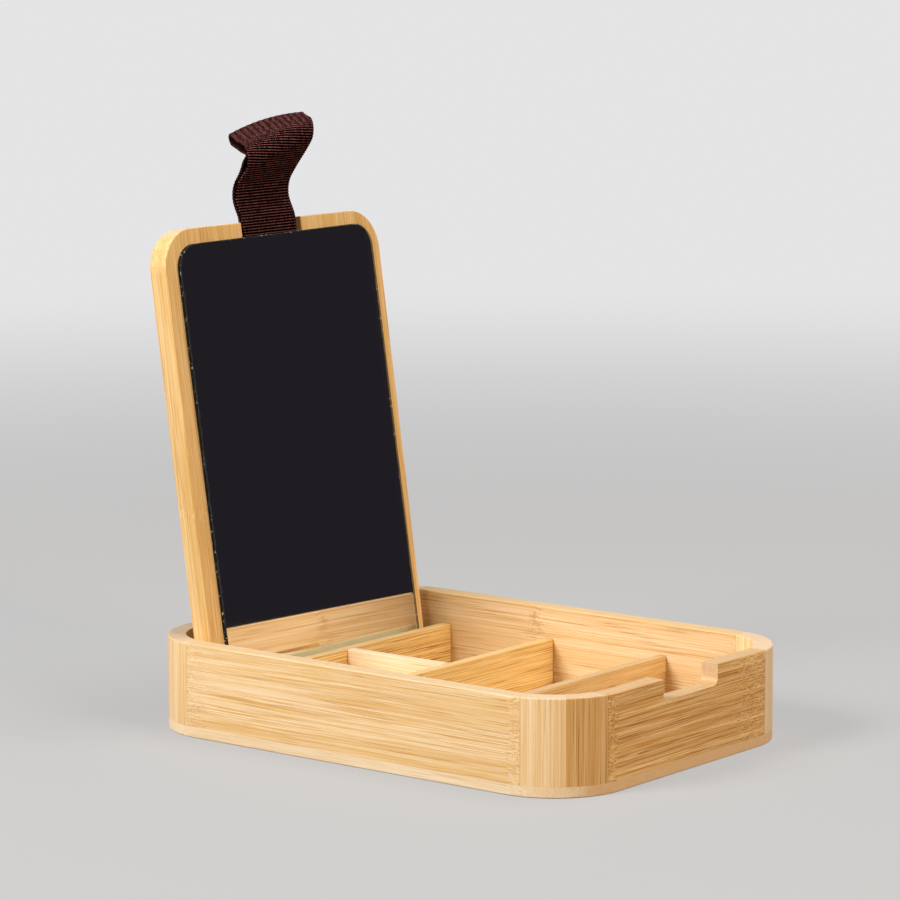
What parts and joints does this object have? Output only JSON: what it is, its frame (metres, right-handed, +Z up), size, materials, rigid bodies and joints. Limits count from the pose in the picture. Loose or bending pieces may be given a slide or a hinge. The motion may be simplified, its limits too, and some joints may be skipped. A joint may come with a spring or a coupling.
{
  "type": "organizer box with mirror",
  "caption": "Open bamboo tray with dividers and rounded corners, and a lift-off lid with a mirror and a webbing loop that stands leaning in a slot at the rear.",
  "frame": {"origin": "middle of the tray's underside, where it rests on the table", "axes": "+X along the tray to the notched front wall, +Y across the tray to the wall away from the viewer, +Z up"},
  "size_m": [0.2159, 0.143, 0.2241],
  "materials": {
    "bamboo_wall": "light bamboo with the grain along the board, fine sanded, thin clear lacquer",
    "bamboo_post_light": "light bamboo with upright grain, fine sanded, thin clear lacquer",
    "bamboo_post_dark": "darker bamboo with upright grain, fine sanded, thin clear lacquer",
    "bamboo_base": "pale bamboo ply, fine sanded, thin clear lacquer",
    "bamboo_divider": "light bamboo with the grain along the board, fine sanded",
    "bamboo_lid": "light bamboo with the grain up the lid, fine sanded, thin clear lacquer",
    "mirror_glass": "clear float glass with ground edges",
    "silver_coat": "silvered back with grey paint behind",
    "tape": "double-sided mounting tape",
    "webbing": "ribbed dark red-brown webbing, matt"
  },
  "bodies": {
    "tray": {"base_panel": "bamboo_base", "side_wall_near": "bamboo_wall", "side_wall_far": "bamboo_wall", "end_wall_front": "bamboo_wall", "end_wall_rear": "bamboo_wall", "post_front_near_side": "bamboo_post_light", "post_front_near_end": "bamboo_post_dark", "post_rear_near_side": "bamboo_post_light", "post_rear_near_end": "bamboo_post_dark", "post_rear_far_side": "bamboo_post_light", "post_rear_far_end": "bamboo_post_dark", "post_front_far_side": "bamboo_post_light", "post_front_far_end": "bamboo_post_dark", "divider_rear": "bamboo_divider", "divider_middle": "bamboo_divider", "divider_front": "bamboo_divider", "divider_lengthwise": "bamboo_divider", "lid_rest_rail": "bamboo_divider", "lid_toe_strip": "bamboo_divider"},
    "lid": {"lid_panel": "bamboo_lid", "mirror_glass": "mirror_glass", "mirror_silver_coat": "silver_coat", "mirror_tapes": "tape", "strap_tail": "webbing"},
    "strap": {"strap_loop": "webbing"}
  },
  "joints": [
    {"name": "lid_lift", "type": "slide", "parent": "tray", "child": "lid", "axis": [-0.143, 0, 0.9897], "range_m": [0, 0.045]},
    {"name": "strap_fold", "type": "hinge", "parent": "lid", "child": "strap", "pos_m": [-0.09679, 0.00064, 0.18522], "axis": [0, 1, 0], "range_deg": [-50, 80], "stiffness_Nm_per_rad": 0.02}
  ]
}
